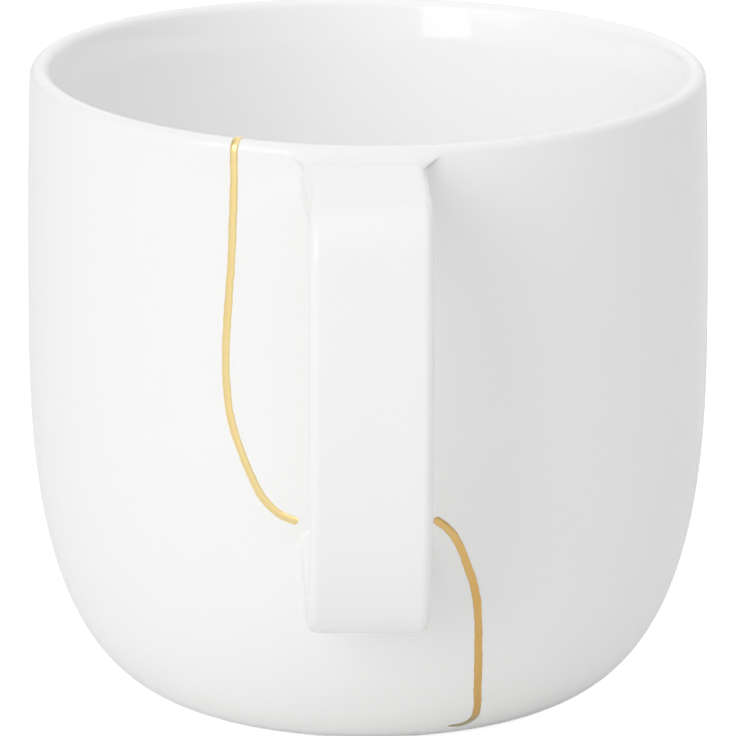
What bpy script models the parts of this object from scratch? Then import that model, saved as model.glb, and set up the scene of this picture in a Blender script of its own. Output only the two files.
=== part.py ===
"""Porcelain mug whose crack has been mended with a single line of gold.

The foot stands on z = 0 and the strap handle points to -Y. The origin lies under the middle of
the whole piece, so the mug's own upright axis is a little to +Y of it.
The bowl, the handle and the foot are one fired piece; the gold fills two shallow grooves in it.
"""

import math

import bmesh
import bpy
from mathutils import Vector
from mathutils.geometry import interpolate_bezier

# Bowl, in metres
BOWL_RADIUS = 0.0450  # at its widest
AXIS_Y = 0.0130  # where the mug's axis stands
WIDEST_HEIGHT = 0.0520
RIM_RADIUS = 0.0445
RIM_HEIGHT = 0.0844
LIP_ROUND = 0.001345  # half the thickness of the rounded lip
WALL = 0.0040
TAPER_LEAN = 0.15  # slope of the inner wall where its outward lean begins
TAPER_DEPTH = 0.00445  # the inner wall leans out over this height below the lip
TAPER_BEND = 0.00045  # half the height over which that lean turns upright
BELLY_PULL = 0.0157  # how far the belly stays upright below its widest point
BASE_PULL = 0.0235  # how far the underside stays level outside the foot
RIM_DIP = 0.0003  # the rim sags this much at the handle and opposite it
RIM_LEAN = 0.0003  # the rim is this much higher on its -X side
WARP_POWER = 4  # how fast the rim's warp fades out down the wall

# Foot and floor
FOOT_RADIUS = 0.0220
FOOT_WIDTH = 0.0040
FOOT_EDGE = 0.0006
RECESS_DEPTH = 0.0014
FLOOR_HEIGHT = 0.0055
FLOOR_RADIUS = 0.0150
INNER_BELLY_HEIGHT = 0.0460
INNER_BELLY_PULL = 0.0180
INNER_BASE_PULL = 0.0170

# Strap handle
STRAP_WIDTH = 0.0155
STRAP_THICKNESS = 0.0055
STRAP_EDGE = 0.0013  # rounding of the strap's long edges
STRAP_TOP = 0.0827  # upper face of the top arm
STRAP_REACH = 0.0710  # from the mug's axis to the front face
STRAP_CORNER = 0.0072  # outer rounding between the top arm and the front
STRAIGHT_END = 0.0640  # the front leaves the vertical at this height
SWEEP_FRONT_PULL = 0.0360  # height down to which the front keeps its upright pull
SWEEP_TURN = (0.0575, 0.0133)  # reach and height that draw the lower arm out and down
LOWER_ROOT_HEIGHT = 0.0335  # middle of the lower arm where it meets the wall
ROOT_DEPTH = 0.0020  # how far both arms run into the wall
ROOT_OFFSET = -0.0005  # the roots sit slightly to -X
STRAP_LEAN = math.radians(2.4)  # the strap leans to +X as it leaves the wall
ROOT_FILLET = 0.0012

# Gold line
GOLD_WIDTH = 0.0010
GOLD_DEPTH = 0.00055  # below the glaze
GOLD_PROUD = 0.00008  # above the glaze
GOLD_GAP = 0.0003

# The crack's course, as degrees round from the handle and height in millimetres
CRACK_TO_HANDLE = [
    (-22.4, 77.0), (-22.8, 68.0), (-23.7, 57.5), (-23.35, 50.0), (-21.45, 44.35),
    (-18.1, 38.5), (-15.3, 36.05), (-12.8, 35.1), (-11.5, 34.9),
]
CRACK_TO_BASE = [
    (11.1, 35.2), (13.0, 34.0), (14.87, 32.05), (16.95, 28.35), (18.5, 24.9), (19.55, 20.5),
    (20.4, 15.2), (21.7, 10.0), (23.1, 6.65), (23.6, 4.7), (22.0, 3.55), (18.4, 3.45),
]
CRACK_BEHIND_HANDLE = [(-6.0, 35.4), (4.0, 35.8)]
CRACK_UNDER_LIP = [(-22.6, 81.8), (-22.6, 78.8)]
CRACK_INSIDE_END = (20.2, 17.0)

# Fineness
AROUND = 56
CURVE_STEPS = 11
LIP_STEPS = 7
EDGE_STEPS = 3
ARM_STEPS = 6
SWEEP_STEPS = 18
COURSE_STEPS = 12
CRACK_STEP = 0.0027
SHARP_ANGLE = math.radians(40.0)
MILLIMETRE = 0.001

PORCELAIN = (0.90, 0.90, 0.885, 1.0)
GOLD = (0.83, 0.62, 0.30, 1.0)


def clear_scene():
    for old in list(bpy.data.objects):
        bpy.data.objects.remove(old, do_unlink=True)


def material(name, colour, roughness, metallic):
    mat = bpy.data.materials.new(name)
    mat.use_nodes = True
    shader = mat.node_tree.nodes["Principled BSDF"]
    shader.inputs["Base Color"].default_value = colour
    shader.inputs["Roughness"].default_value = roughness
    shader.inputs["Metallic"].default_value = metallic
    return mat


def curve_through(start, start_pull, end_pull, end, steps):
    """Points of a cubic curve in the (radius, height) plane."""
    corners = [Vector((*p, 0.0)) for p in (start, start_pull, end_pull, end)]
    return [(p.x, p.y) for p in interpolate_bezier(*corners, steps)]


def arc(centre, radius, first, last, steps):
    """Points of an arc; angles in degrees from the outward direction, upwards positive."""
    points = []
    for i in range(steps):
        angle = math.radians(first + (last - first) * i / (steps - 1))
        points.append((centre[0] + radius * math.cos(angle), centre[1] + radius * math.sin(angle)))
    return points


def outer_curve(steps):
    """Outside of the bowl, from the foot's outer edge up to where the lip starts to round."""
    lower = curve_through(
        (FOOT_RADIUS, 0.0),
        (FOOT_RADIUS + BASE_PULL, 0.0),
        (BOWL_RADIUS, WIDEST_HEIGHT - BELLY_PULL),
        (BOWL_RADIUS, WIDEST_HEIGHT),
        steps,
    )
    lip_start = RIM_HEIGHT - LIP_ROUND
    upper = []
    for i in range(1, steps // 2 + 1):
        share = i / (steps // 2)
        height = WIDEST_HEIGHT + (lip_start - WIDEST_HEIGHT) * share
        upper.append((BOWL_RADIUS - (BOWL_RADIUS - RIM_RADIUS) * share ** 2, height))
    return lower + upper


def inner_curve(steps):
    """Inside of the bowl, from the lip down to the level floor."""
    lip_bottom = RIM_HEIGHT - LIP_ROUND
    lip_inside = RIM_RADIUS - 2 * LIP_ROUND
    bore = BOWL_RADIUS - WALL
    bend = lip_bottom - TAPER_DEPTH
    taper = [
        (lip_inside, lip_bottom),
        (bore + TAPER_LEAN * TAPER_DEPTH / 2, bend + TAPER_DEPTH / 2),
        (bore + TAPER_LEAN * TAPER_BEND, bend + TAPER_BEND),
        (bore, bend - TAPER_BEND),
    ]
    turn = curve_through(
        (bore, INNER_BELLY_HEIGHT),
        (bore, INNER_BELLY_HEIGHT - INNER_BELLY_PULL),
        (FLOOR_RADIUS + INNER_BASE_PULL, FLOOR_HEIGHT),
        (FLOOR_RADIUS, FLOOR_HEIGHT),
        steps,
    )
    return taper + turn


def lip_curve(steps):
    centre = (RIM_RADIUS - LIP_ROUND, RIM_HEIGHT - LIP_ROUND)
    return arc(centre, LIP_ROUND, 0.0, 180.0, steps)[1:-1]


def foot_curve():
    """Underside, from the middle of the recess out to the foot's outer edge."""
    inside = FOOT_RADIUS - FOOT_WIDTH
    return [
        (inside - 2 * RECESS_DEPTH, RECESS_DEPTH),
        (inside - FOOT_EDGE, FOOT_EDGE),
        (inside, 0.0),
    ]


def radius_at(curve, height):
    """Radius of a curve at a height."""
    ordered = sorted(curve, key=lambda point: point[1])
    for (r0, z0), (r1, z1) in zip(ordered, ordered[1:]):
        if z0 <= height <= z1:
            return r0 + (r1 - r0) * (height - z0) / max(z1 - z0, 1e-9)
    return ordered[-1][0] if height > ordered[-1][1] else ordered[0][0]


def rim_warp(x, y, height):
    """Height change of the fired rim, which fades out down the wall."""
    angle = math.atan2(x, -y)
    share = max(height / RIM_HEIGHT, 0.0) ** WARP_POWER
    return -share * (RIM_DIP * math.cos(2 * angle) + RIM_LEAN * math.sin(angle))


def on_axis(radius, angle, height):
    """Point at an angle round from the handle."""
    x = radius * math.sin(angle)
    y = -radius * math.cos(angle)
    return Vector((x, y, height + rim_warp(x, y, height)))


def skin(rings, name, mat):
    """Object whose surface joins closed rings of points, with a face over each end."""
    bm = bmesh.new()
    loops = [[bm.verts.new(point) for point in ring] for ring in rings]
    for first, second in zip(loops, loops[1:]):
        for i in range(len(first)):
            j = (i + 1) % len(first)
            bm.faces.new((first[i], first[j], second[j], second[i]))
    bm.faces.new(reversed(loops[0]))
    bm.faces.new(loops[-1])
    bmesh.ops.recalc_face_normals(bm, faces=bm.faces)
    mesh = bpy.data.meshes.new(name)
    bm.to_mesh(mesh)
    bm.free()
    mesh.materials.append(mat)
    mesh.shade_smooth()
    mesh.set_sharp_from_angle(angle=SHARP_ANGLE)
    thing = bpy.data.objects.new(name, mesh)
    thing.location.y = AXIS_Y
    bpy.context.scene.collection.objects.link(thing)
    return thing


def bowl(mat):
    """Turned body: floor, inner wall, lip, outer wall and foot in one closed surface."""
    outside = outer_curve(CURVE_STEPS)
    inside = inner_curve(CURVE_STEPS)
    section = foot_curve() + outside + lip_curve(LIP_STEPS) + inside
    rings = []
    for radius, height in section:
        turns = [2 * math.pi * i / AROUND for i in range(AROUND)]
        rings.append([on_axis(radius, turn, height) for turn in turns])
    return skin(rings, "cup", mat)


def strap_centre():
    """Middle line of the strap as (distance from the axis, height), from the top root down."""
    half = STRAP_THICKNESS / 2
    top = STRAP_TOP - half
    front = STRAP_REACH - half
    bend = STRAP_CORNER - half
    start = radius_at(outer_curve(CURVE_STEPS), top) - ROOT_DEPTH
    end = radius_at(outer_curve(CURVE_STEPS), LOWER_ROOT_HEIGHT) - ROOT_DEPTH
    run = front - bend - start
    line = [(start + run * i / ARM_STEPS, top) for i in range(ARM_STEPS)]
    line += arc((front - bend, top - bend), bend, 90.0, 0.0, ARM_STEPS)
    sweep = curve_through(
        (front, STRAIGHT_END),
        (front, SWEEP_FRONT_PULL),
        SWEEP_TURN,
        (end, LOWER_ROOT_HEIGHT),
        SWEEP_STEPS,
    )
    return line + sweep


def strap_section(half_width, half_thickness, edge):
    """Rounded rectangle, as (across, out) offsets from the middle line."""
    corners = ((1, 1, 0), (-1, 1, 90), (-1, -1, 180), (1, -1, 270))
    points = []
    for side, face, first in corners:
        centre = (side * (half_width - edge), face * (half_thickness - edge))
        points += arc(centre, edge, first, first + 90, EDGE_STEPS)
    return points


def strap(mat):
    line = strap_centre()
    wall = outer_curve(CURVE_STEPS)
    rings = []
    for i, (reach, height) in enumerate(line):
        before = line[max(i - 1, 0)]
        after = line[min(i + 1, len(line) - 1)]
        along = Vector((after[0] - before[0], after[1] - before[1])).normalized()
        out = Vector((-along.y, along.x))
        clear = reach - radius_at(wall, height)
        depth = min(max(ROOT_FILLET - clear, 0.0), ROOT_FILLET)
        flare = ROOT_FILLET - math.sqrt(ROOT_FILLET ** 2 - depth ** 2)
        section = strap_section(STRAP_WIDTH / 2 + flare, STRAP_THICKNESS / 2 + flare, STRAP_EDGE)
        shift = ROOT_OFFSET + (reach - BOWL_RADIUS) * math.tan(STRAP_LEAN)
        ring = []
        for across, outward in section:
            point = Vector((reach, height)) + out * outward
            ring.append(Vector((across + shift, -point.x, point.y)))
        rings.append(ring)
    return skin(rings, "strap", mat)


def smooth_course(points, step):
    """Evenly spaced points of a smooth curve through the given points."""
    knots = [Vector(p) for p in points]
    knots = [2 * knots[0] - knots[1]] + knots + [2 * knots[-1] - knots[-2]]
    fine = []
    for a, b, c, d in zip(knots, knots[1:], knots[2:], knots[3:]):
        fine += interpolate_bezier(b, b + (c - a) / 6, c - (d - b) / 6, c, COURSE_STEPS)[:-1]
    fine.append(knots[-2])
    course = [fine[0]]
    for point in fine[1:]:
        if (point - course[-1]).length >= step:
            course.append(point)
    if (fine[-1] - course[-1]).length < step / 2:
        course.pop()
    return course + [fine[-1]]


def wall_places(course, wall):
    """Places on a wall, as 3-D points, of a course given in degrees and millimetres."""
    places = []
    for degrees, millimetres in course:
        height = millimetres * MILLIMETRE
        places.append(on_axis(radius_at(wall, height), math.radians(degrees), height))
    return places


def crack_over_rim():
    """Course from inside the bowl, over the lip and down to the handle's lower root."""
    outside = outer_curve(CURVE_STEPS)
    inside = inner_curve(CURVE_STEPS)
    behind = CRACK_UNDER_LIP + CRACK_TO_HANDLE + CRACK_BEHIND_HANDLE
    behind += CRACK_TO_BASE[1:6] + [CRACK_INSIDE_END]
    rim_angle = math.radians(CRACK_TO_HANDLE[0][0])
    lip = [on_axis(r, rim_angle, z) for r, z in reversed(lip_curve(LIP_STEPS))]
    down = wall_places(CRACK_TO_HANDLE, outside)
    return smooth_course(list(reversed(wall_places(behind, inside))) + lip + down, CRACK_STEP)


def crack_to_base():
    return smooth_course(wall_places(CRACK_TO_BASE, outer_curve(CURVE_STEPS)), CRACK_STEP)


def surface_normal(point):
    """Direction out of the porcelain at a point on its surface."""
    radius = math.hypot(point.x, point.y)
    outward = Vector((point.x, point.y, 0.0)) / radius
    lip_radius = RIM_RADIUS - LIP_ROUND
    lip_height = RIM_HEIGHT - LIP_ROUND
    if point.z > lip_height:
        return (outward * (radius - lip_radius) + Vector((0, 0, point.z - lip_height))).normalized()
    outside = outer_curve(CURVE_STEPS)
    inside = inner_curve(CURVE_STEPS)
    here_out = radius_at(outside, point.z)
    here_in = radius_at(inside, point.z)
    is_outside = abs(radius - here_out) < abs(radius - here_in)
    curve, sign = (outside, 1) if is_outside else (inside, -1)
    reach = MILLIMETRE
    slope = (radius_at(curve, point.z + reach) - radius_at(curve, point.z - reach)) / (2 * reach)
    return (sign * (outward - Vector((0, 0, slope)))).normalized()


def ribbon(course, half_width, deep, proud, ends, name, mat):
    """Flat bar let into the surface along a course, lengthened by ends at both ends."""
    line = [point.copy() for point in course]
    line[0] += (line[0] - line[1]).normalized() * ends
    line[-1] += (line[-1] - line[-2]).normalized() * ends
    rings = []
    for i, point in enumerate(line):
        before = line[max(i - 1, 0)]
        after = line[min(i + 1, len(line) - 1)]
        up = surface_normal(course[i])
        across = (after - before).cross(up).normalized() * half_width
        low = point - up * deep
        high = point + up * proud
        rings.append([low - across, low + across, high + across, high - across])
    return skin(rings, name, mat)


def cut(thing, cutter, operation):
    modifier = thing.modifiers.new(operation.title() + " " + cutter.name, "BOOLEAN")
    modifier.operation = operation
    modifier.solver = "EXACT"
    modifier.object = cutter
    cutter.hide_render = True
    cutter.display_type = "WIRE"


def build():
    clear_scene()
    porcelain = material("glazed_porcelain", PORCELAIN, 0.12, 0.0)
    gold = material("gold_lacquer", GOLD, 0.30, 1.0)

    cup = bowl(porcelain)
    cut(cup, strap(porcelain), "UNION")

    seams = {"gold_seam_over_rim": crack_over_rim(), "gold_seam_to_base": crack_to_base()}
    for name, course in seams.items():
        ribbon(course, GOLD_WIDTH / 2, GOLD_DEPTH, GOLD_PROUD, 0.0, name, gold)
        groove = ribbon(
            course,
            GOLD_WIDTH / 2 + GOLD_GAP,
            GOLD_DEPTH + GOLD_GAP,
            2 * GOLD_GAP,
            GOLD_GAP,
            "groove_" + name,
            porcelain,
        )
        cut(cup, groove, "DIFFERENCE")


build()
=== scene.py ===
"""Porcelain mug whose crack has been mended in gold, on a pale studio floor.

The fired body and the two runs of gold are rebuilt finely over the solids, from the same driving
sizes. Lengths are in metres. The foot stands on z = 0 and the handle points to -Y.
"""

import math

import bmesh
import bpy
import numpy as np
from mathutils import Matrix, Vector
from mathutils.geometry import delaunay_2d_cdt


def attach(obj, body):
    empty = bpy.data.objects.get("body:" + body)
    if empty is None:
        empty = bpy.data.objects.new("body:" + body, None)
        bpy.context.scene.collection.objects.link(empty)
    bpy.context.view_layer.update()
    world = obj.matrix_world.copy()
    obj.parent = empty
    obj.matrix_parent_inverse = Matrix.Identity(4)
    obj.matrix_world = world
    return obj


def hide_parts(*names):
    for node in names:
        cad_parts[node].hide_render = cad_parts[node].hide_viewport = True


MM = 0.001

# Bowl
AXIS_Y = 0.0130
BOWL_RADIUS = 0.0450
WIDEST_HEIGHT = 0.0520
RIM_RADIUS = 0.0445
RIM_HEIGHT = 0.0844
LIP_ROUND = 0.001345
WALL = 0.0040
LIP_FLARE = 0.25
TAPER_LEAN = 0.15
TAPER_DEPTH = 0.00445
TAPER_BEND = 0.00045
BELLY_PULL = 0.0157
BASE_PULL = 0.0235
RIM_DIP = 0.0003
RIM_LEAN = 0.0003
WARP_POWER = 4
FLOOR_HEIGHT = 0.0055
FLOOR_RADIUS = 0.0150
INNER_BELLY_HEIGHT = 0.0460
INNER_BELLY_PULL = 0.0180
INNER_BASE_PULL = 0.0170

# Foot: corners of the ring's section as (radius, height, rounding)
FOOT_RADIUS = 0.0220
FOOT_CORNERS = [
    (0.0154, 0.0014, 0.0012),
    (0.01775, 0.0, 0.0004),
    (0.0220, 0.0, 0.00025),
    (0.0223, 0.00026, 0.00012),
]
BASE_START = 0.0245

# Strap handle
STRAP_WIDTH = 0.0155
STRAP_THICKNESS = 0.0055
STRAP_EDGE = 0.0013
STRAP_CROWN = 0.00010
STRAP_TOP = 0.0827
STRAP_REACH = 0.0710
STRAP_CORNER = 0.0072
STRAIGHT_END = 0.0640
SWEEP_FRONT_PULL = 0.0360
SWEEP_TURN = (0.0575, 0.0133)
LOWER_ROOT_HEIGHT = 0.0335
ROOT_OFFSET = -0.0005
STRAP_LEAN = math.radians(2.4)
TOP_FILLET = 0.0055
TOP_SIDE_FILLET = 0.0019
LOWER_FILLET = 0.0013
TOP_ROOT_DEPTH = 0.0040
LOWER_ROOT_DEPTH = 0.0046
ROOT_ZONE = 0.054

# Gold line, as degrees round from the handle and height in millimetres
GOLD_WIDTH = 0.00108
GOLD_RISE = 0.00016
GOLD_ROOT = 0.00018
GOLD_SEEDS = (11, 23)
GOLD_ENDS = ((0.0006, 0.00012), (0.00012, 0.0040))
CRACK_TO_HANDLE = [
    (-22.4, 77.0), (-22.8, 68.0), (-23.7, 57.5), (-23.35, 50.0), (-21.45, 44.35),
    (-18.1, 38.5), (-15.3, 36.05), (-12.8, 35.1), (-11.5, 34.9),
]
CRACK_TO_BASE = [
    (10.9, 35.3), (13.0, 34.0), (14.87, 32.05), (16.95, 28.35), (18.5, 24.9), (19.55, 20.5),
    (20.4, 15.2), (21.7, 10.0), (23.1, 6.65), (23.6, 4.7), (22.0, 3.55), (18.4, 3.45),
]
CRACK_BEHIND_HANDLE = [(-6.0, 35.4), (4.0, 35.8)]
CRACK_INSIDE_END = (20.2, 17.0)
GLAZE = ((0.940, 0.941, 0.935, 1.0), (0.958, 0.958, 0.953, 1.0))
# Whiter colour for the inside of the bowl: painted light, for light through the wall and bouncing
# inside
INSIDE_PAINTED_LIGHT = (0.978, 0.978, 0.978, 1.0)
BISCUIT = ((0.66, 0.645, 0.61, 1.0), (0.74, 0.725, 0.69, 1.0))
# Paler gold for the lit side of the line and darker gold for its shaded side: painted light and
# shade
GOLD_PAINTED_LIT = ((0.98, 0.74, 0.32, 1.0), (1.0, 0.82, 0.42, 1.0))
DULL_GOLD = (0.50, 0.45, 0.28, 1.0)
GOLD_PAINTED_SHADE = ((0.70, 0.42, 0.13, 1.0), (0.82, 0.53, 0.20, 1.0))

# Fineness
COLUMNS = 192
FINE = 0.00006
STRAP_ROWS = 130
FILLET_STEPS = 7
CORNER_POINTS = 10
FACE_POINTS = 15
SIDE_POINTS = 4
STRAP_STEP = 0.0001
EASE_REACH = 30
EASE_WIDTH = 9.0
WINDOW_REACH = 10
PATCH_CLEARANCE = 0.0006
WINDOW_BELOW = 0.0022
WINDOW_ABOVE = 0.0012
TOP_HEM_FADE = 0.10
LOWER_HEM_FADE = 0.16
GOLD_STEP = 0.00035

# Light: elevation, first azimuth and step in degrees, sharpness and strengths of soft patches,
# then the panel's corners as (azimuth, elevation)
SKY = [
    (90, 0, 60, 14, (0.51,)),
    (65, 0, 60, 14, (0.41, 0.47, 0.49, 0.47, 0.28, 0.29)),
    (42, 18, 36, 14, (0.32, 0.30, 0.24, 0.34, 0.46, 0.39, 0.16, 0.12, 0.32, 0.34)),
    (20, 0, 25.714, 14,
     (0.28, 0.21, 0.19, 0.10, 0.11, 0.29, 0.36, 0.40, 0.28, 0.20, 0.20, 0.20, 0.37, 0.41)),
    (3, 12.857, 25.714, 14,
     (0.13, 0.11, 0.10, 0.10, 0.19, 0.33, 0.38, 0.32, 0.20, 0.20, 0.20, 0.20, 0.39, 0.21)),
    (12, -56, 12, 150, (0.95, 1.04, 0.80)),
    (24, -56, 12, 150, (1.48, 1.35, 1.04, 0.49, 0.05)),
    (36, -56, 12, 150, (1.13, 1.19, 1.01, 0.18)),
    (48, -56, 12, 150, (0.45, 0.44, 0.35, 0.07)),
    (62, -56, 12, 150, (0.17, 0.22, 0.18, 0.17, 0.20)),
]
PANEL_CORNERS = [(-19.8, 2.0), (-39.3, 2.0), (-24.5, 45.0), (-19.8, 45.0)]
PANEL_STRENGTH = 1.8
PANEL_EDGE = 0.012
LIGHT_BOUNCES = 12
FLOOR_GLOW = 0.75
FLOOR_PALE = ((0.93, 0.93, 0.93, 1.0), (0.95, 0.95, 0.95, 1.0))
# Greyer ground under the piece: painted shade
FLOOR_PAINTED_SHADE = ((0.895, 0.895, 0.895, 1.0), (0.915, 0.915, 0.915, 1.0))
FLOOR_REACH = 3.0
FLOOR_FADE = (-0.35, -0.10)

# Camera: distance from the mug's axis, height and downward tilt
CAMERA_DISTANCE = 1.0
CAMERA_HEIGHT = 0.3146
CAMERA_TILT = 0.2649
LENS = 381.6
SENSOR_WIDTH = 36.0


def bezier(a, b, c, d, count):
    """Points of a cubic curve from a to d, drawn towards b and c."""
    t = np.linspace(0.0, 1.0, count)[:, None]
    a, b, c, d = (np.array(p, float) for p in (a, b, c, d))
    return (1 - t) ** 3 * a + 3 * (1 - t) ** 2 * t * b + 3 * (1 - t) * t ** 2 * c + t ** 3 * d


def arc(centre, radius, first, last, count):
    """Points of an arc, angles in radians from the outward direction, upwards positive."""
    turn = np.linspace(first, last, count)
    return np.stack([centre[0] + radius * np.cos(turn), centre[1] + radius * np.sin(turn)], 1)


def rounded_corner(before, corner, after, radius, count):
    """Arc that rounds the corner of a bent line."""
    a, b, c = (np.array(p, float) for p in (before, corner, after))
    u = (a - b) / np.linalg.norm(a - b)
    v = (c - b) / np.linalg.norm(c - b)
    half = math.acos(np.clip(u @ v, -1.0, 1.0)) / 2
    reach = radius / math.tan(half)
    centre = b + (u + v) / np.linalg.norm(u + v) * radius / math.sin(half)
    start, end = b + u * reach - centre, b + v * reach - centre
    angle = math.acos(np.clip(start @ end / radius ** 2, -1.0, 1.0))
    t = np.linspace(0.0, 1.0, count)[:, None]
    return centre + (np.sin((1 - t) * angle) * start + np.sin(t * angle) * end) / math.sin(angle)


def even(points, step):
    """The same line with points about a step apart."""
    gaps = np.linalg.norm(np.diff(points, axis=0), axis=1)
    along = np.concatenate([[0.0], np.cumsum(gaps)])
    count = max(int(round(along[-1] / step)), 1) + 1
    wanted = np.linspace(0.0, along[-1], count)
    return np.stack([np.interp(wanted, along, points[:, k]) for k in range(points.shape[1])], 1)


def outer_line():
    lower = bezier(
        (FOOT_RADIUS, 0.0),
        (FOOT_RADIUS + BASE_PULL, 0.0),
        (BOWL_RADIUS, WIDEST_HEIGHT - BELLY_PULL),
        (BOWL_RADIUS, WIDEST_HEIGHT),
        1600,
    )
    lower = lower[lower[:, 0] >= BASE_START]
    lower[:, 0] = np.minimum(lower[:, 0], BOWL_RADIUS)
    share = np.linspace(0.0, 1.0, 600)[1:]
    height = WIDEST_HEIGHT + (RIM_HEIGHT - LIP_ROUND - WIDEST_HEIGHT) * share
    radius = BOWL_RADIUS - (BOWL_RADIUS - RIM_RADIUS) * share ** 2
    return np.concatenate([lower, np.stack([radius, height], 1)])


def lip_line(wall):
    """Round of the lip, level with both walls where it meets them."""
    run = wall[-1] - wall[-2]
    first = math.atan2(-run[0], run[1])
    last = math.pi - math.atan(LIP_FLARE)
    out = np.array([math.cos(first), math.sin(first)])
    return arc(wall[-1] - LIP_ROUND * out, LIP_ROUND, first, last, 90)


def inner_line(start):
    bore = BOWL_RADIUS - WALL
    bend = RIM_HEIGHT - LIP_ROUND - TAPER_DEPTH
    above = (bore + TAPER_LEAN * TAPER_BEND, bend + TAPER_BEND)
    below = (bore, bend - TAPER_BEND)
    third = (start[1] - above[1]) / 3
    taper = bezier(
        start,
        (start[0] - LIP_FLARE * third, start[1] - third),
        (above[0] + TAPER_LEAN * third, above[1] + third),
        above,
        120,
    )
    half = TAPER_BEND / 2
    eased = (above[0] - TAPER_LEAN * half, above[1] - half)
    upright = bezier(above, eased, (bore, bend), below, 40)
    turn = bezier(
        (bore, INNER_BELLY_HEIGHT),
        (bore, INNER_BELLY_HEIGHT - INNER_BELLY_PULL),
        (FLOOR_RADIUS + INNER_BASE_PULL, FLOOR_HEIGHT),
        (FLOOR_RADIUS, FLOOR_HEIGHT),
        1200,
    )
    return np.concatenate([taper, upright[1:], turn])


def foot_line(base):
    """Underside from the middle of the recess out to the start of the bowl's base."""
    corners = [(0.0, FOOT_CORNERS[0][1])] + [c[:2] for c in FOOT_CORNERS] + [tuple(base)]
    parts = [np.array([corners[0]])]
    for i, (radius, height, rounding) in enumerate(FOOT_CORNERS):
        parts.append(rounded_corner(corners[i], (radius, height), corners[i + 2], rounding, 24))
    return np.concatenate(parts)


class Section:
    """The turned body's section, from the underside's middle round to the floor's middle."""

    def __init__(self):
        wall = outer_line()
        lip = lip_line(wall)
        inside = inner_line(lip[-1])
        foot = foot_line(wall[0])
        floor = np.array([inside[-1], [0.0, FLOOR_HEIGHT]])
        runs = [(foot, 0.0009), (wall, 0.0011), (lip, 0.0003), (inside, 0.0013), (floor, 0.0015)]
        line = [foot[:1]]
        rows = [0.0]
        self.ends = []
        length = 0.0
        last = foot[0]
        for points, step in runs:
            if np.linalg.norm(points[0] - last) > 1e-7:
                points = np.concatenate([[last], points])
            fine = even(points, FINE)
            line.append(fine[1:])
            gaps = np.linalg.norm(np.diff(fine, axis=0), axis=1).sum()
            count = max(int(round(gaps / step)), 1)
            rows += [length + gaps * (i + 1) / count for i in range(count)]
            length += gaps
            last = fine[-1]
            self.ends.append(length)
        self.points = np.concatenate(line)
        gaps = np.linalg.norm(np.diff(self.points, axis=0), axis=1)
        self.along = np.concatenate([[0.0], np.cumsum(gaps)])
        self.rows = np.array(rows) * self.along[-1] / length
        tangent = np.gradient(self.points, self.along, axis=0)
        tangent /= np.linalg.norm(tangent, axis=1)[:, None]
        self.normals = np.stack([tangent[:, 1], -tangent[:, 0]], 1)

    def at(self, s):
        """Radius, height and the outward direction in the section, at a length along it."""
        cols = (self.points[:, 0], self.points[:, 1], self.normals[:, 0], self.normals[:, 1])
        return [np.interp(s, self.along, c) for c in cols]

    def length_at(self, height, inside):
        """Length along the section at a height of the outer or the inner wall."""
        crown = int(np.argmax(self.points[:, 1]))
        if inside:
            picked = slice(crown, int(np.searchsorted(self.along, self.ends[3])))
            return float(np.interp(-height, -self.points[picked, 1], self.along[picked]))
        picked = slice(int(np.searchsorted(self.along, self.ends[0])), crown)
        return float(np.interp(height, self.points[picked, 1], self.along[picked]))

    def nearest(self, radius, height):
        """Distance to the outer wall and lip, and the length along the section there."""
        low = int(np.searchsorted(self.along, self.ends[0]))
        high = int(np.searchsorted(self.along, self.ends[2]))
        line = self.points[low:high]
        found = np.empty(len(radius), int)
        gap = np.empty(len(radius))
        for i in range(0, len(radius), 512):
            dr = radius[i:i + 512, None] - line[None, :, 0]
            dz = height[i:i + 512, None] - line[None, :, 1]
            square = dr ** 2 + dz ** 2
            best = square.argmin(1)
            found[i:i + 512] = best + low
            gap[i:i + 512] = np.sqrt(square[np.arange(len(best)), best])
        side = (radius - self.points[found, 0]) * self.normals[found, 0]
        side += (height - self.points[found, 1]) * self.normals[found, 1]
        return np.where(side >= 0, gap, -gap), self.along[found]


def warp(x, y, height):
    """Height change of the fired rim, which fades out down the wall."""
    turn = np.arctan2(x, -y)
    share = np.clip(height / RIM_HEIGHT, 0.0, None) ** WARP_POWER
    return -share * (RIM_DIP * np.cos(2 * turn) + RIM_LEAN * np.sin(turn))


def turned(section, angle, s):
    """Points and normals of the turned body, in its own axis."""
    radius, height, out, up = section.at(s)
    x, y = radius * np.sin(angle), -radius * np.cos(angle)
    points = np.stack([x, y, height + warp(x, y, height)], -1)
    normals = np.stack([out * np.sin(angle), -out * np.cos(angle), up + 0 * angle], -1)
    return points, normals


def strap_centre():
    """Middle line of the strap as (distance from the axis, height), from the top root down."""
    half = STRAP_THICKNESS / 2
    top, front, bend = STRAP_TOP - half, STRAP_REACH - half, STRAP_CORNER - half
    arm = np.array([[RIM_RADIUS - TOP_ROOT_DEPTH, top], [front - bend, top]])
    corner = arc((front - bend, top - bend), bend, math.pi / 2, 0.0, 60)
    upright = np.array([[front, top - bend], [front, STRAIGHT_END]])
    end = (BOWL_RADIUS - LOWER_ROOT_DEPTH, LOWER_ROOT_HEIGHT)
    sweep = bezier((front, STRAIGHT_END), (front, SWEEP_FRONT_PULL), SWEEP_TURN, end, 500)
    line = np.concatenate([arm, corner[1:], upright[1:], sweep[1:]])
    line = even(line, STRAP_STEP)
    # the bends are eased into one another
    spread = np.arange(-EASE_REACH, EASE_REACH + 1)
    weight = np.exp(-0.5 * (spread / EASE_WIDTH) ** 2)
    weight /= weight.sum()
    eased = line.copy()
    for k in range(2):
        eased[EASE_REACH:-EASE_REACH, k] = np.convolve(line[:, k], weight, "valid")
    return even(eased, STRAP_STEP)


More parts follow.
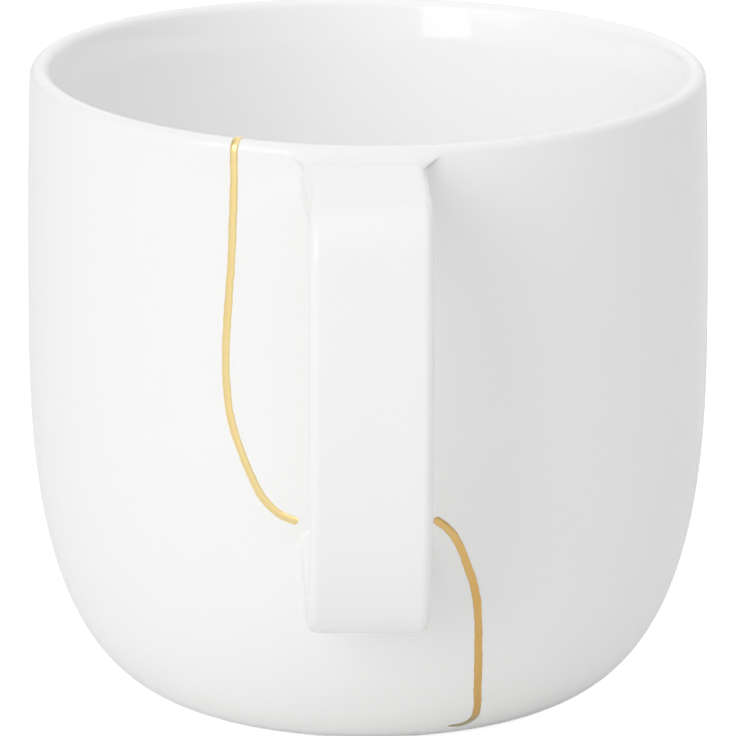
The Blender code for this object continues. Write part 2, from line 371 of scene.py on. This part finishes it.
def strap_section():
    """Rounded, faintly crowned rectangle as (across, out) offsets, run round once."""
    half_width, half_thick = STRAP_WIDTH / 2, STRAP_THICKNESS / 2
    points = []
    corners = ((1, 1, 0.0), (-1, 1, 0.5), (-1, -1, 1.0), (1, -1, 1.5))
    for i, (side, face, first) in enumerate(corners):
        centre = (side * (half_width - STRAP_EDGE), face * (half_thick - STRAP_EDGE))
        turn = (first * math.pi, (first + 0.5) * math.pi)
        bend = arc(centre, STRAP_EDGE, turn[0], turn[1], CORNER_POINTS)
        following = corners[(i + 1) % 4]
        begin = following[2] * math.pi
        nxt = (
            following[0] * (half_width - STRAP_EDGE) + STRAP_EDGE * math.cos(begin),
            following[1] * (half_thick - STRAP_EDGE) + STRAP_EDGE * math.sin(begin),
        )
        count = FACE_POINTS if i % 2 == 0 else SIDE_POINTS
        flat = np.linspace(bend[-1], nxt, count + 1)[1:-1]
        points += [bend, flat]
    ring = np.concatenate(points)
    ring[:, 1] *= 1 - STRAP_CROWN / half_thick * (ring[:, 0] / half_width) ** 2
    return ring


def strap_surface():
    """Dense grid of strap points and outward normals, rows along the middle line."""
    line = strap_centre()
    tangent = np.gradient(line, axis=0)
    tangent /= np.linalg.norm(tangent, axis=1)[:, None]
    out = np.stack([-tangent[:, 1], tangent[:, 0]], 1)
    ring = strap_section()
    shift = ROOT_OFFSET + (line[:, 0] - BOWL_RADIUS) * math.tan(STRAP_LEAN)
    reach = line[:, None, 0] + out[:, None, 0] * ring[None, :, 1]
    height = line[:, None, 1] + out[:, None, 1] * ring[None, :, 1]
    across = ring[None, :, 0] + shift[:, None]
    points = np.stack([np.broadcast_to(across, reach.shape), -reach, height], -1)
    along = np.gradient(points, axis=0)
    # even weights at both neighbours, since the ring's steps differ
    ahead = np.roll(points, -1, 1) - points
    behind = points - np.roll(points, 1, 1)
    la = np.linalg.norm(ahead, axis=-1, keepdims=True)
    lb = np.linalg.norm(behind, axis=-1, keepdims=True)
    around = ahead / la + behind / lb
    normals = np.cross(along, around)
    normals /= np.linalg.norm(normals, axis=-1, keepdims=True)
    middle = np.stack([shift, -line[:, 0], line[:, 1]], -1)[:, None]
    flip = np.sign(((points - middle) * normals).sum(-1).mean())
    return points, normals * flip


def fillet_radii(normals, on_top, elsewhere):
    """Radius of the blend for each column of the strap, larger where the strap faces up."""
    facing = np.clip(normals[:, 2], 0.0, 1.0)
    share = facing ** 2 * (3 - 2 * facing)
    return elsewhere + (on_top - elsewhere) * share


def blend_at_root(section, points, normals, radius, from_top):
    """Where a ball rolled into the corner between strap and wall touches both, round the strap."""
    rows = np.arange(len(points))
    near = rows[-np.minimum(points[:, :, 1].max(1), 0) < ROOT_ZONE]
    near = near[near < len(points) // 3] if from_top else near[near > len(points) // 3]
    centres = points[near] + radius[:, None] * normals[near]
    flat = centres.reshape(-1, 3)
    level = flat[:, 2] - warp(flat[:, 0], flat[:, 1], flat[:, 2])
    gap, _ = section.nearest(np.hypot(flat[:, 0], flat[:, 1]), level)
    gap = gap.reshape(centres.shape[:2]) - radius
    order = slice(None, None, -1) if from_top else slice(None)
    walk, gap = near[order], gap[order]
    places = np.empty(points.shape[1])
    for j in range(points.shape[1]):
        k = int(np.argmax(gap[:, j] < 0))
        share = gap[k - 1, j] / (gap[k - 1, j] - gap[k, j])
        places[j] = walk[k - 1] + (walk[k] - walk[k - 1]) * share
    return places


def sample(grid, places):
    """Values of a dense grid at one fractional row for each column."""
    low = np.floor(places).astype(int)
    share = (places - low)[..., None]
    cols = np.arange(grid.shape[1])
    return grid[low, cols] * (1 - share) + grid[low + 1, cols] * share


def ball_arcs(section, on_strap, normals, radius):
    """Points of the blend from the wall to the strap, and the wall contact as (angle, length)."""
    radius = radius[:, None]
    centre = on_strap + radius * normals
    level = centre[:, 2] - warp(centre[:, 0], centre[:, 1], centre[:, 2])
    _, s = section.nearest(np.hypot(centre[:, 0], centre[:, 1]), level)
    angle = np.arctan2(centre[:, 0], -centre[:, 1])
    on_wall, _ = turned(section, angle, s)
    first = (on_wall - centre) / np.linalg.norm(on_wall - centre, axis=1)[:, None]
    last = -normals
    turn = np.arccos(np.clip((first * last).sum(1), -1, 1))[:, None]
    steps = []
    for i in range(1, FILLET_STEPS):
        t = i / FILLET_STEPS
        way = (np.sin((1 - t) * turn) * first + np.sin(t * turn) * last) / np.sin(turn)
        steps.append((centre + radius * way, -way))
    return angle, s, on_wall, steps


class Builder:
    """Collects points, normals and faces."""

    def __init__(self):
        self.points = []
        self.normals = []
        self.faces = []

    def add(self, points, normals):
        start = len(self.points)
        self.points += [tuple(p) for p in points]
        self.normals += [tuple(n) for n in normals]
        return np.arange(start, start + len(points))

    def band(self, first, second):
        """Faces between two closed rings of point numbers."""
        for i in range(len(first)):
            j = (i + 1) % len(first)
            self.faces.append((first[i], first[j], second[j], second[i]))

    def piece(self, name, mat):
        mesh = bpy.data.meshes.new(name)
        points = [(x, y + AXIS_Y, z) for x, y, z in self.points]
        mesh.from_pydata(points, [], [tuple(int(i) for i in f) for f in self.faces])
        work = bmesh.new()
        work.from_mesh(mesh)
        bmesh.ops.recalc_face_normals(work, faces=work.faces)
        work.to_mesh(mesh)
        work.free()
        mesh.shade_smooth()
        normals = np.array(self.normals)
        normals /= np.linalg.norm(normals, axis=1)[:, None]
        mesh.normals_split_custom_set_from_vertices([tuple(n) for n in normals])
        mesh.materials.append(mat)
        thing = bpy.data.objects.new(name, mesh)
        bpy.context.scene.collection.objects.link(thing)
        return thing


def inside_loop(points, loop):
    """Which points lie within a closed loop, by counting crossings."""
    x, y = points[:, 0], points[:, 1]
    within = np.zeros(len(points), bool)
    for (x0, y0), (x1, y1) in zip(loop, np.roll(loop, -1, 0)):
        if y0 == y1:
            continue
        crosses = (y0 > y) != (y1 > y)
        within ^= crosses & (x < (x1 - x0) * (y - y0) / (y1 - y0) + x0)
    return within


def patch(build, section, grid, rows, columns, angle, s, ring, angles):
    """Fills a window of the wall's grid around a root with triangles."""
    r0, r1 = rows
    width = [angles(c) * BOWL_RADIUS for c in columns]
    border = [(r0, c) for c in columns[:-1]]
    border += [(r, columns[-1]) for r in range(r0, r1)]
    border += [(r1, c) for c in reversed(columns[1:])]
    border += [(r, columns[0]) for r in range(r1, r0, -1)]
    place = {c: w for c, w in zip(columns, width)}
    loop = np.stack([angle * BOWL_RADIUS, s], 1)
    flat = [(place[c], section.rows[r]) for r, c in border]
    numbers = [grid[r][c % COLUMNS] for r, c in border]
    edges = [(i, (i + 1) % len(border)) for i in range(len(border))]
    start = len(flat)
    flat += [tuple(p) for p in loop]
    numbers += list(ring)
    edges += [(start + i, start + (i + 1) % len(loop)) for i in range(len(loop))]
    for r in range(r0 + 1, r1):
        for c in columns[1:-1]:
            here = np.array([place[c], section.rows[r]])
            clear = np.linalg.norm(loop - here, axis=1).min()
            if clear > PATCH_CLEARANCE and not inside_loop(here[None], loop)[0]:
                flat.append(tuple(here))
                numbers.append(grid[r][c % COLUMNS])
    scaled = [Vector((p[0] / MM, p[1] / MM)) for p in flat]
    _, _, faces, origins, _, _ = delaunay_2d_cdt(scaled, edges, [], 0, 1e-6)
    for face in faces:
        middle = np.mean([flat[origins[i][0]] for i in face], axis=0)
        if not inside_loop(middle[None], loop)[0]:
            build.faces.append(tuple(numbers[origins[i][0]] for i in face))


def fired_body(section, mat):
    """Bowl and strap in one closed skin, with a rolled blend at both roots."""
    build = Builder()
    turns = 2 * math.pi * np.arange(COLUMNS) / COLUMNS
    strap, strap_normals = strap_surface()
    roots = []
    for on_top, radius, from_top in (
        (TOP_FILLET, TOP_SIDE_FILLET, True),
        (LOWER_FILLET, LOWER_FILLET, False),
    ):
        end = strap_normals[0 if from_top else -1]
        radius = fillet_radii(end, on_top, radius)
        places = blend_at_root(section, strap, strap_normals, radius, from_top)
        touch, out = sample(strap, places), sample(strap_normals, places)
        roots.append((places, touch, out, ball_arcs(section, touch, out, radius)))

    # windows of the wall's grid that the roots take up
    windows = []
    columns = list(range(-WINDOW_REACH, WINDOW_REACH + 1))
    for *_, (_, s, _, _) in roots:
        low = int(np.searchsorted(section.rows, s.min() - WINDOW_BELOW))
        high = int(np.searchsorted(section.rows, s.max() + WINDOW_ABOVE))
        windows.append((low, high))

    grid = []
    for r, s in enumerate(section.rows):
        if r in (0, len(section.rows) - 1):
            points, normals = turned(section, np.zeros(1), np.full(1, s))
            grid.append(list(build.add(points, normals)) * COLUMNS)
        else:
            points, normals = turned(section, turns, np.full(COLUMNS, s))
            grid.append(list(build.add(points, normals)))
    top = len(section.rows) - 1
    for r in range(top):
        for c in range(COLUMNS):
            signed = c if c < COLUMNS // 2 else c - COLUMNS
            window = any(
                low <= r < high and -WINDOW_REACH <= signed < WINDOW_REACH
                for low, high in windows
            )
            if window:
                continue
            n = (c + 1) % COLUMNS
            if r == 0:
                build.faces.append((grid[0][0], grid[1][n], grid[1][c]))
            elif r == top - 1:
                build.faces.append((grid[r][c], grid[r][n], grid[top][0]))
            else:
                build.faces.append((grid[r][c], grid[r][n], grid[r + 1][n], grid[r + 1][c]))

    hems = []
    for (_, touch, out, (angle, s, on_wall, steps)), window in zip(roots, windows):
        _, wall_normals = turned(section, angle, s)
        ring = build.add(on_wall, wall_normals)
        patch(
            build, section, grid, window, columns, angle, s, ring,
            lambda c: 2 * math.pi * c / COLUMNS,
        )
        last = ring
        for points, normals in steps:
            following = build.add(points, normals)
            build.band(last, following)
            last = following
        hem = build.add(touch, out)
        build.band(last, hem)
        hems.append(hem)

    first, last = roots[0][0], roots[1][0]
    shares = np.linspace(0.0, 1.0, STRAP_ROWS + 1)
    even_first, even_last = first.max(), last.min()
    before = hems[0]
    for share in shares[1:-1]:
        row = even_first + (even_last - even_first) * share
        fade_first = max(1 - share / TOP_HEM_FADE, 0.0)
        fade_last = max(1 - (1 - share) / LOWER_HEM_FADE, 0.0)
        smooth_first = fade_first ** 2 * (3 - 2 * fade_first)
        smooth_last = fade_last ** 2 * (3 - 2 * fade_last)
        places = row + (first - even_first) * smooth_first + (last - even_last) * smooth_last
        following = build.add(sample(strap, places), sample(strap_normals, places))
        build.band(before, following)
        before = following
    build.band(before, hems[1])

    used = sorted({int(i) for f in build.faces for i in f})
    renumber = {old: new for new, old in enumerate(used)}
    build.points = [build.points[i] for i in used]
    build.normals = [build.normals[i] for i in used]
    build.faces = [tuple(renumber[int(i)] for i in f) for f in build.faces]
    return build.piece("cup_fired_body", mat)


def smooth_course(knots, step):
    """Evenly spaced points of a smooth curve through the knots."""
    knots = np.array(knots, float)
    ends = np.concatenate([[2 * knots[0] - knots[1]], knots, [2 * knots[-1] - knots[-2]]])
    parts = []
    for a, b, c, d in zip(ends, ends[1:], ends[2:], ends[3:]):
        parts.append(bezier(b, b + (c - a) / 6, c - (d - b) / 6, c, 40)[:-1])
    parts.append(knots[-1:])
    return even(np.concatenate(parts), step)


def ripple(along, seed, waves):
    """Slow unevenness from -1 to 1, a sum of sines with fixed phases."""
    maker = np.random.default_rng(seed)
    total = np.zeros_like(along)
    for length in waves:
        total += np.sin(2 * math.pi * (along / length + maker.random()))
    return total / len(waves)


def gold_line(section, course, seed, ends, name, mat):
    """Rounded bead of gold laid along a course given as (angle times bowl radius, length)."""
    line = smooth_course(course, GOLD_STEP)
    along = np.arange(len(line)) * GOLD_STEP
    total = along[-1]
    line[:, 0] += 0.00005 * ripple(along, seed, (0.009, 0.004, 0.0017))
    points, normals = turned(section, line[:, 0] / BOWL_RADIUS, line[:, 1])
    forward = np.gradient(points, axis=0)
    forward /= np.linalg.norm(forward, axis=1)[:, None]
    across = np.cross(forward, normals)
    across /= np.linalg.norm(across, axis=1)[:, None]
    half = GOLD_WIDTH / 2 * (1 + 0.07 * ripple(along, seed + 1, (0.013, 0.005, 0.0021)))
    rise = GOLD_RISE * (1 + 0.16 * ripple(along, seed + 2, (0.011, 0.0043, 0.0015)))
    for length, place in zip(ends, (along, total - along)):
        share = np.clip(place / length, 0.0, 1.0)
        pinch = np.sqrt(1 - (1 - share) ** 2)
        half *= np.clip(pinch, 0.08, 1.0)
        rise *= np.clip(pinch, 0.15, 1.0)
    build = Builder()
    turns = np.linspace(math.pi, 0.0, 11)
    rings = []
    for i in range(len(points)):
        offsets = [(half[i] * math.cos(t), rise[i] * math.sin(t)) for t in turns]
        leans = [(math.cos(t) * rise[i], math.sin(t) * half[i]) for t in turns]
        offsets += [(half[i] * 0.8, -GOLD_ROOT), (-half[i] * 0.8, -GOLD_ROOT)]
        leans += [(1.0, -1.0), (-1.0, -1.0)]
        spots = [points[i] + across[i] * a + normals[i] * h for a, h in offsets]
        ways = [across[i] * a + normals[i] * h for a, h in leans]
        rings.append(build.add(spots, ways))
    for first, second in zip(rings, rings[1:]):
        build.band(first, second)
    build.faces.append(tuple(rings[0]))
    build.faces.append(tuple(reversed(rings[-1])))
    return build.piece(name, mat)


def gold_courses(section):
    """The two runs of the line, over the rim to the handle and from the handle to the base."""

    def knot(place, inside=False):
        degrees, height = place
        return (
            math.radians(degrees) * BOWL_RADIUS,
            section.length_at(height * MM, inside),
        )

    hidden = CRACK_TO_HANDLE + CRACK_BEHIND_HANDLE + CRACK_TO_BASE[1:6] + [CRACK_INSIDE_END]
    over = [knot(p, True) for p in reversed(hidden)]
    lip = (section.ends[1] + section.ends[2]) / 2
    over.append((math.radians(CRACK_TO_HANDLE[0][0]) * BOWL_RADIUS, lip))
    over += [knot(p) for p in CRACK_TO_HANDLE]
    return over, [knot(p) for p in CRACK_TO_BASE]


def new_material(name):
    mat = bpy.data.materials.new(name)
    mat.use_nodes = True
    tree = mat.node_tree
    return mat, tree, tree.nodes["Principled BSDF"]


def noise(tree, where, scale, detail, rough=0.5):
    node = tree.nodes.new("ShaderNodeTexNoise")
    node.inputs["Scale"].default_value = scale
    node.inputs["Detail"].default_value = detail
    node.inputs["Roughness"].default_value = rough
    tree.links.new(where, node.inputs["Vector"])
    return node.outputs["Fac"]


def remap(tree, value, low, high, to_low, to_high):
    node = tree.nodes.new("ShaderNodeMapRange")
    node.inputs["From Min"].default_value = low
    node.inputs["From Max"].default_value = high
    node.inputs["To Min"].default_value = to_low
    node.inputs["To Max"].default_value = to_high
    tree.links.new(value, node.inputs["Value"])
    return node.outputs["Result"]


def maths(tree, operation, a, b):
    node = tree.nodes.new("ShaderNodeMath")
    node.operation = operation
    for socket, value in zip(node.inputs, (a, b)):
        if isinstance(value, (int, float)):
            socket.default_value = value
        else:
            tree.links.new(value, socket)
    return node.outputs[0]


def mix_colour(tree, share, a, b):
    node = tree.nodes.new("ShaderNodeMix")
    node.data_type = "RGBA"
    tree.links.new(share, node.inputs["Factor"])
    slots = [s for s in node.inputs if s.type == "RGBA"]
    for socket, value in zip(slots, (a, b)):
        if isinstance(value, tuple):
            socket.default_value = value
        else:
            tree.links.new(value, socket)
    return [s for s in node.outputs if s.type == "RGBA"][0]


def bump(tree, height, strength, distance, normal=None):
    node = tree.nodes.new("ShaderNodeBump")
    node.inputs["Strength"].default_value = strength
    node.inputs["Distance"].default_value = distance
    tree.links.new(height, node.inputs["Height"])
    if normal is not None:
        tree.links.new(normal, node.inputs["Normal"])
    return node.outputs["Normal"]


def porcelain():
    mat, tree, shader = new_material("glazed_porcelain_fine")
    places = tree.nodes.new("ShaderNodeTexCoord")
    where = places.outputs["Object"]
    cloud = noise(tree, where, 42.0, 3.0)
    fine = noise(tree, where, 900.0, 2.0)
    white = mix_colour(tree, cloud, *GLAZE)

    spot = tree.nodes.new("ShaderNodeSeparateXYZ")
    tree.links.new(where, spot.inputs[0])
    off_axis = maths(tree, "SUBTRACT", spot.outputs["Y"], AXIS_Y)
    square = maths(tree, "ADD", maths(tree, "MULTIPLY", spot.outputs["X"], spot.outputs["X"]),
                   maths(tree, "MULTIPLY", off_axis, off_axis))
    radius = maths(tree, "POWER", square, 0.5)

    # painted light: the inside is coloured whiter where the surface faces the axis or looks up,
    # standing in for light that shines through the wall and bounces round the bowl
    out = tree.nodes.new("ShaderNodeSeparateXYZ")
    tree.links.new(places.outputs["Normal"], out.inputs[0])
    outward = maths(tree, "ADD", maths(tree, "MULTIPLY", out.outputs["X"], spot.outputs["X"]),
                    maths(tree, "MULTIPLY", out.outputs["Y"], off_axis))
    outward = maths(tree, "DIVIDE", outward, radius)
    inward = maths(tree, "SUBTRACT", out.outputs["Z"], outward)
    facing = remap(tree, inward, -0.3, 0.3, 0.0, 1.0)
    within = remap(tree, radius, 0.0434, 0.0426, 0.0, 1.0)
    above = remap(tree, spot.outputs["Z"], 0.0040, 0.0050, 0.0, 1.0)
    inside = maths(tree, "MULTIPLY", facing, maths(tree, "MULTIPLY", within, above))
    white = mix_colour(tree, inside, white, INSIDE_PAINTED_LIGHT)

    # the ring the cup stands on is wiped free of glaze
    low = remap(tree, spot.outputs["Z"], 0.0009, 0.0005, 0.0, 1.0)
    outside = remap(tree, radius, 0.02235, 0.02215, 0.0, 1.0)
    ring = remap(tree, radius, 0.0166, 0.0169, 0.0, 1.0)
    bare = maths(tree, "MULTIPLY", low, maths(tree, "MULTIPLY", outside, ring))
    grain = noise(tree, where, 2600.0, 4.0, 0.7)
    biscuit = mix_colour(tree, grain, *BISCUIT)
    colour = mix_colour(tree, bare, white, biscuit)
    tree.links.new(colour, shader.inputs["Base Color"])

    gloss = remap(tree, fine, 0.3, 0.7, 0.045, 0.070)
    rough = maths(tree, "ADD", gloss, maths(tree, "MULTIPLY", bare, 0.55))
    # the gloss softens where the glaze is seen at a flat angle
    flat = tree.nodes.new("ShaderNodeLayerWeight").outputs["Facing"]
    edge = remap(tree, flat, 0.80, 0.97, 0.0, 0.30)
    rough = maths(tree, "ADD", rough, edge)
    tree.links.new(rough, shader.inputs["Roughness"])
    wave = noise(tree, where, 130.0, 2.0)
    ripples = bump(tree, wave, 0.03, 0.0002)
    rasp = bump(tree, maths(tree, "MULTIPLY", grain, bare), 0.5, 0.0001, ripples)
    tree.links.new(rasp, shader.inputs["Normal"])
    shader.inputs["IOR"].default_value = 1.5
    return mat


def gold():
    mat, tree, shader = new_material("gold_lacquer_fine")
    where = tree.nodes.new("ShaderNodeTexCoord").outputs["Object"]
    cloud = noise(tree, where, 260.0, 3.0)
    grain = noise(tree, where, 5200.0, 3.0, 0.7)
    pale = mix_colour(tree, cloud, *GOLD_PAINTED_LIT)
    painted_shade_gold = mix_colour(tree, cloud, *GOLD_PAINTED_SHADE)
    spot = tree.nodes.new("ShaderNodeSeparateXYZ")
    tree.links.new(where, spot.inputs[0])
    # painted light and shade: the line is painted paler left of the handle, on the lit side, and
    # darker right of it, on the shaded side
    side = remap(tree, spot.outputs["X"], -0.006, 0.015, 0.0, 1.0)
    metal = mix_colour(tree, side, pale, painted_shade_gold)
    # the thin end under the turn of the base is dull and greenish
    end = remap(tree, spot.outputs["Z"], 0.0058, 0.0042, 0.0, 1.0)
    tree.links.new(mix_colour(tree, end, metal, DULL_GOLD), shader.inputs["Base Color"])
    shader.inputs["Metallic"].default_value = 1.0
    tree.links.new(remap(tree, grain, 0.3, 0.7, 0.26, 0.42), shader.inputs["Roughness"])
    soft = bump(tree, cloud, 0.35, 0.00015)
    tree.links.new(bump(tree, grain, 0.25, 0.00003, soft), shader.inputs["Normal"])
    return mat


def floor_material():
    mat, tree, shader = new_material("pale_floor")
    where = tree.nodes.new("ShaderNodeTexCoord").outputs["Object"]
    cloud = noise(tree, where, 6.0, 2.0)
    pale = mix_colour(tree, cloud, *FLOOR_PALE)
    near = mix_colour(tree, cloud, *FLOOR_PAINTED_SHADE)
    spot = tree.nodes.new("ShaderNodeSeparateXYZ")
    tree.links.new(where, spot.inputs[0])
    # painted shade: the ground right under the piece is painted a little greyer than the ground in
    # front of it
    shade = remap(tree, spot.outputs["Y"], FLOOR_FADE[0], FLOOR_FADE[1], 0.0, 1.0)
    tree.links.new(mix_colour(tree, shade, pale, near), shader.inputs["Base Color"])
    shader.inputs["Roughness"].default_value = 0.9
    shader.inputs["Specular IOR Level"].default_value = 0.0
    # the floor glows for direct sight only: it shows as a plain white ground and lights nothing
    shader.inputs["Emission Color"].default_value = (1.0, 1.0, 1.0, 1.0)
    seen = tree.nodes.new("ShaderNodeLightPath").outputs["Is Camera Ray"]
    tree.links.new(maths(tree, "MULTIPLY", seen, FLOOR_GLOW), shader.inputs["Emission Strength"])
    return mat


def camera():
    data = bpy.data.cameras.new("camera")
    data.sensor_width = SENSOR_WIDTH
    data.lens = LENS
    data.clip_start = 0.05
    data.clip_end = 20.0
    view = bpy.data.objects.new("camera", data)
    view.location = (0.0, AXIS_Y - CAMERA_DISTANCE, CAMERA_HEIGHT)
    view.rotation_euler = (math.pi / 2 - CAMERA_TILT, 0.0, 0.0)
    bpy.context.scene.collection.objects.link(view)
    bpy.context.scene.camera = view


def direction(azimuth, elevation):
    """Way to a place in the sky; azimuth from the camera's side, to the right positive."""
    a, e = math.radians(azimuth), math.radians(elevation)
    return Vector((math.sin(a) * math.cos(e), -math.cos(a) * math.cos(e), math.sin(e)))


def along(tree, where, way):
    node = tree.nodes.new("ShaderNodeVectorMath")
    node.operation = "DOT_PRODUCT"
    tree.links.new(where, node.inputs[0])
    node.inputs[1].default_value = way
    return node.outputs["Value"]


def soft_sky():
    """Light from all round as a sum of soft round patches, and one panel with clear edges."""
    world = bpy.data.worlds.new("studio")
    world.use_nodes = True
    tree = world.node_tree
    where = tree.nodes.new("ShaderNodeTexCoord").outputs["Generated"]
    total = None
    for elevation, first, step, sharpness, strengths in SKY:
        for i, strength in enumerate(strengths):
            facing = along(tree, where, direction(first + i * step, elevation))
            glow = maths(tree, "POWER", maths(tree, "MAXIMUM", facing, 0.0), sharpness)
            glow = maths(tree, "MULTIPLY", glow, strength)
            total = glow if total is None else maths(tree, "ADD", total, glow)
    corners = [direction(*corner) for corner in PANEL_CORNERS]
    middle = sum(corners, Vector())
    panel = PANEL_STRENGTH
    for a, b in zip(corners, corners[1:] + corners[:1]):
        side = a.cross(b).normalized()
        side = side if side.dot(middle) > 0 else -side
        edge = remap(tree, along(tree, where, side), -PANEL_EDGE, PANEL_EDGE, 0.0, 1.0)
        panel = maths(tree, "MULTIPLY", edge, panel)
    total = maths(tree, "ADD", total, panel)
    tree.links.new(total, tree.nodes["Background"].inputs["Strength"])
    tree.nodes["Background"].inputs["Color"].default_value = (1.0, 1.0, 1.0, 1.0)
    bpy.context.scene.world = world


def studio():
    mesh = bpy.data.meshes.new("floor")
    r = FLOOR_REACH
    mesh.from_pydata([(-r, -r, 0.0), (r, -r, 0.0), (r, r, 0.0), (-r, r, 0.0)], [], [(0, 1, 2, 3)])
    mesh.materials.append(floor_material())
    ground = bpy.data.objects.new("floor", mesh)
    bpy.context.scene.collection.objects.link(ground)
    soft_sky()
    scene = bpy.context.scene
    scene.view_settings.view_transform = "Standard"
    scene.cycles.diffuse_bounces = LIGHT_BOUNCES
    scene.cycles.max_bounces = LIGHT_BOUNCES + 4


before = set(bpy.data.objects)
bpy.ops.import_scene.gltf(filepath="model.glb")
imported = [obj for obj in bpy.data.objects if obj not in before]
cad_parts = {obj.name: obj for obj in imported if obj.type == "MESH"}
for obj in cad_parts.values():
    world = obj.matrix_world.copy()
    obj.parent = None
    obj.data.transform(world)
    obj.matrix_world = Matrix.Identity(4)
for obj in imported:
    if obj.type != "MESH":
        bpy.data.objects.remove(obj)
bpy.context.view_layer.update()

section = Section()
body = fired_body(section, porcelain())
gilt = gold()
over_rim, to_base = gold_courses(section)
line_over, line_base = (
    gold_line(section, course, seed, ends, name, gilt)
    for course, seed, ends, name in zip(
        (over_rim, to_base), GOLD_SEEDS, GOLD_ENDS, ("gold_line_over_rim", "gold_line_to_base")
    )
)

for piece, node, slot in (
    (body, "cup", "glazed_porcelain"),
    (line_over, "gold_seam_over_rim", "gold_lacquer"),
    (line_base, "gold_seam_to_base", "gold_lacquer"),
):
    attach(piece, "root")
    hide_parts(node)

studio()
camera()
